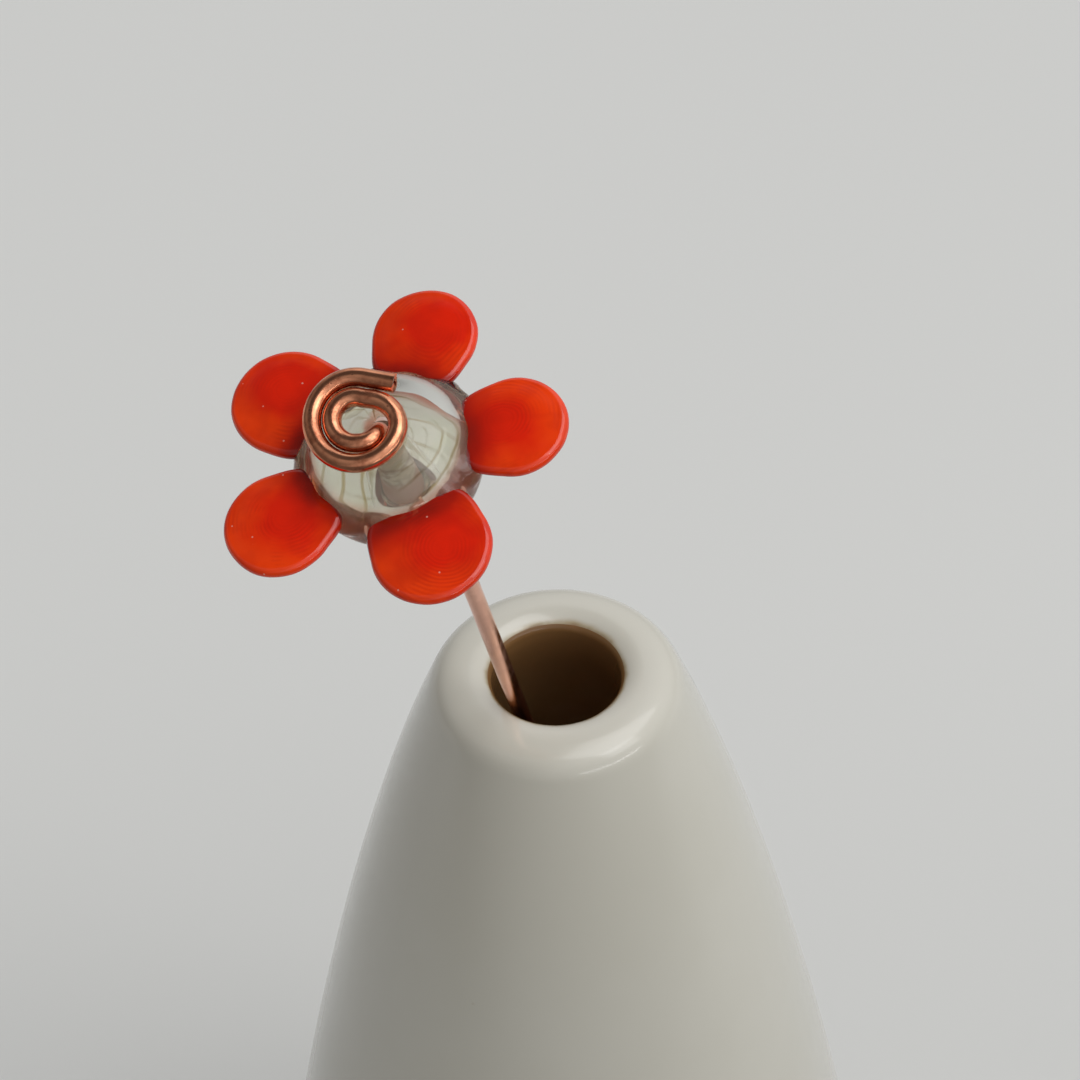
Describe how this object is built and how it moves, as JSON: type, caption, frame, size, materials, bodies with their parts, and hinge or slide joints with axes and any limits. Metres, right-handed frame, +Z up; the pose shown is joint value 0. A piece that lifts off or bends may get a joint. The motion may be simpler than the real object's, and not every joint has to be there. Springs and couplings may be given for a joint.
{
  "type": "glass flower on a copper wire stem in a bud vase",
  "caption": "Lampworked glass flower with red petals and a clear centre on a coiled copper wire stem, standing in a slim glazed bud vase.",
  "frame": {"origin": "centre of the vase's foot, on the surface it stands on", "axes": "+Z up along the vase's axis; the flower leans out over the lip towards -Y and -X, the side it is looked at from"},
  "size_m": [0.0492, 0.0492, 0.1409],
  "materials": {
    "vase_glaze": "soft gloss off-white glaze, dark brown inside",
    "copper": "bright copper wire, slightly oxidised",
    "clear_glass": "clear, faintly green, with ochre streaks",
    "red_glass": "glossy opaque red-orange"
  },
  "bodies": {
    "root": {"vase": "vase_glaze", "copper_stem": "copper", "glass_centre": "clear_glass", "petal_1": "red_glass", "petal_2": "red_glass", "petal_3": "red_glass", "petal_4": "red_glass", "petal_5": "red_glass"}
  },
  "joints": []
}
